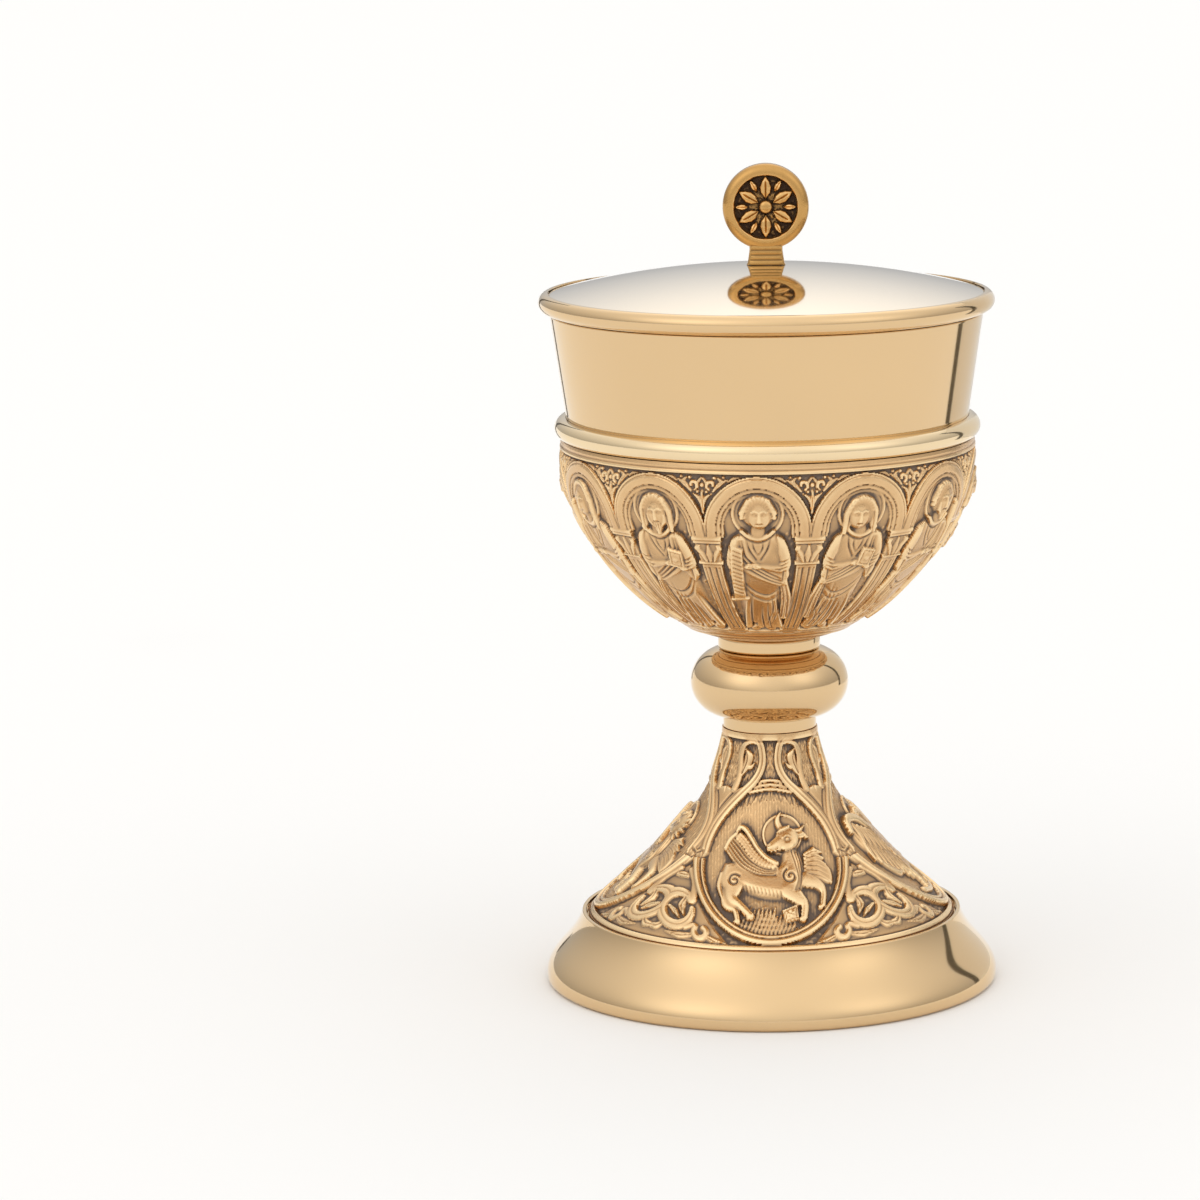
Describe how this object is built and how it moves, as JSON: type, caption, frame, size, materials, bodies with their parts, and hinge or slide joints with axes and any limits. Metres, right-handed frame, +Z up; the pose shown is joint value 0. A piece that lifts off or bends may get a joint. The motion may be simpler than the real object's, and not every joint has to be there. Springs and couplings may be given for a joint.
{
  "type": "ciborium",
  "caption": "Gilt brass lidded vessel on a knotted stem, with an arcaded relief bowl, a medallion foot, a flared cup and a lift-off domed lid with a disc finial.",
  "frame": {"origin": "centre of the base ring's resting face, on the vessel's axis", "axes": "+Z up along the axis, -Y towards the front medallion and the finial's face"},
  "size_m": [0.1304, 0.1304, 0.2359],
  "materials": {
    "polished_gold": "polished gilt",
    "antique_gold": "gilt, darkened in the hollows",
    "finial_gold": "gilt, dark patina in the ground",
    "plain_brass": "turned",
    "fastener_steel": "zinc plated"
  },
  "bodies": {
    "vessel": {"base_ring": "polished_gold", "foot_cone": "antique_gold", "clamp_disc": "plain_brass", "lock_washer": "fastener_steel", "stem_nut": "plain_brass", "tie_rod": "fastener_steel", "lower_collar": "polished_gold", "knot": "polished_gold", "stem_tube": "plain_brass", "upper_collar": "polished_gold", "bowl_basket": "antique_gold", "basket_rim": "polished_gold", "cup": "polished_gold", "cup_boss": "plain_brass"},
    "lid": {"lid_dome": "polished_gold", "lid_rim": "polished_gold", "lid_skirt": "polished_gold", "finial": "finial_gold", "finial_washer": "fastener_steel", "finial_screw": "fastener_steel"}
  },
  "joints": [
    {"name": "lid_lift", "type": "slide", "parent": "vessel", "child": "lid", "axis": [0, 0, 1], "range_m": [0, 0.06]}
  ]
}
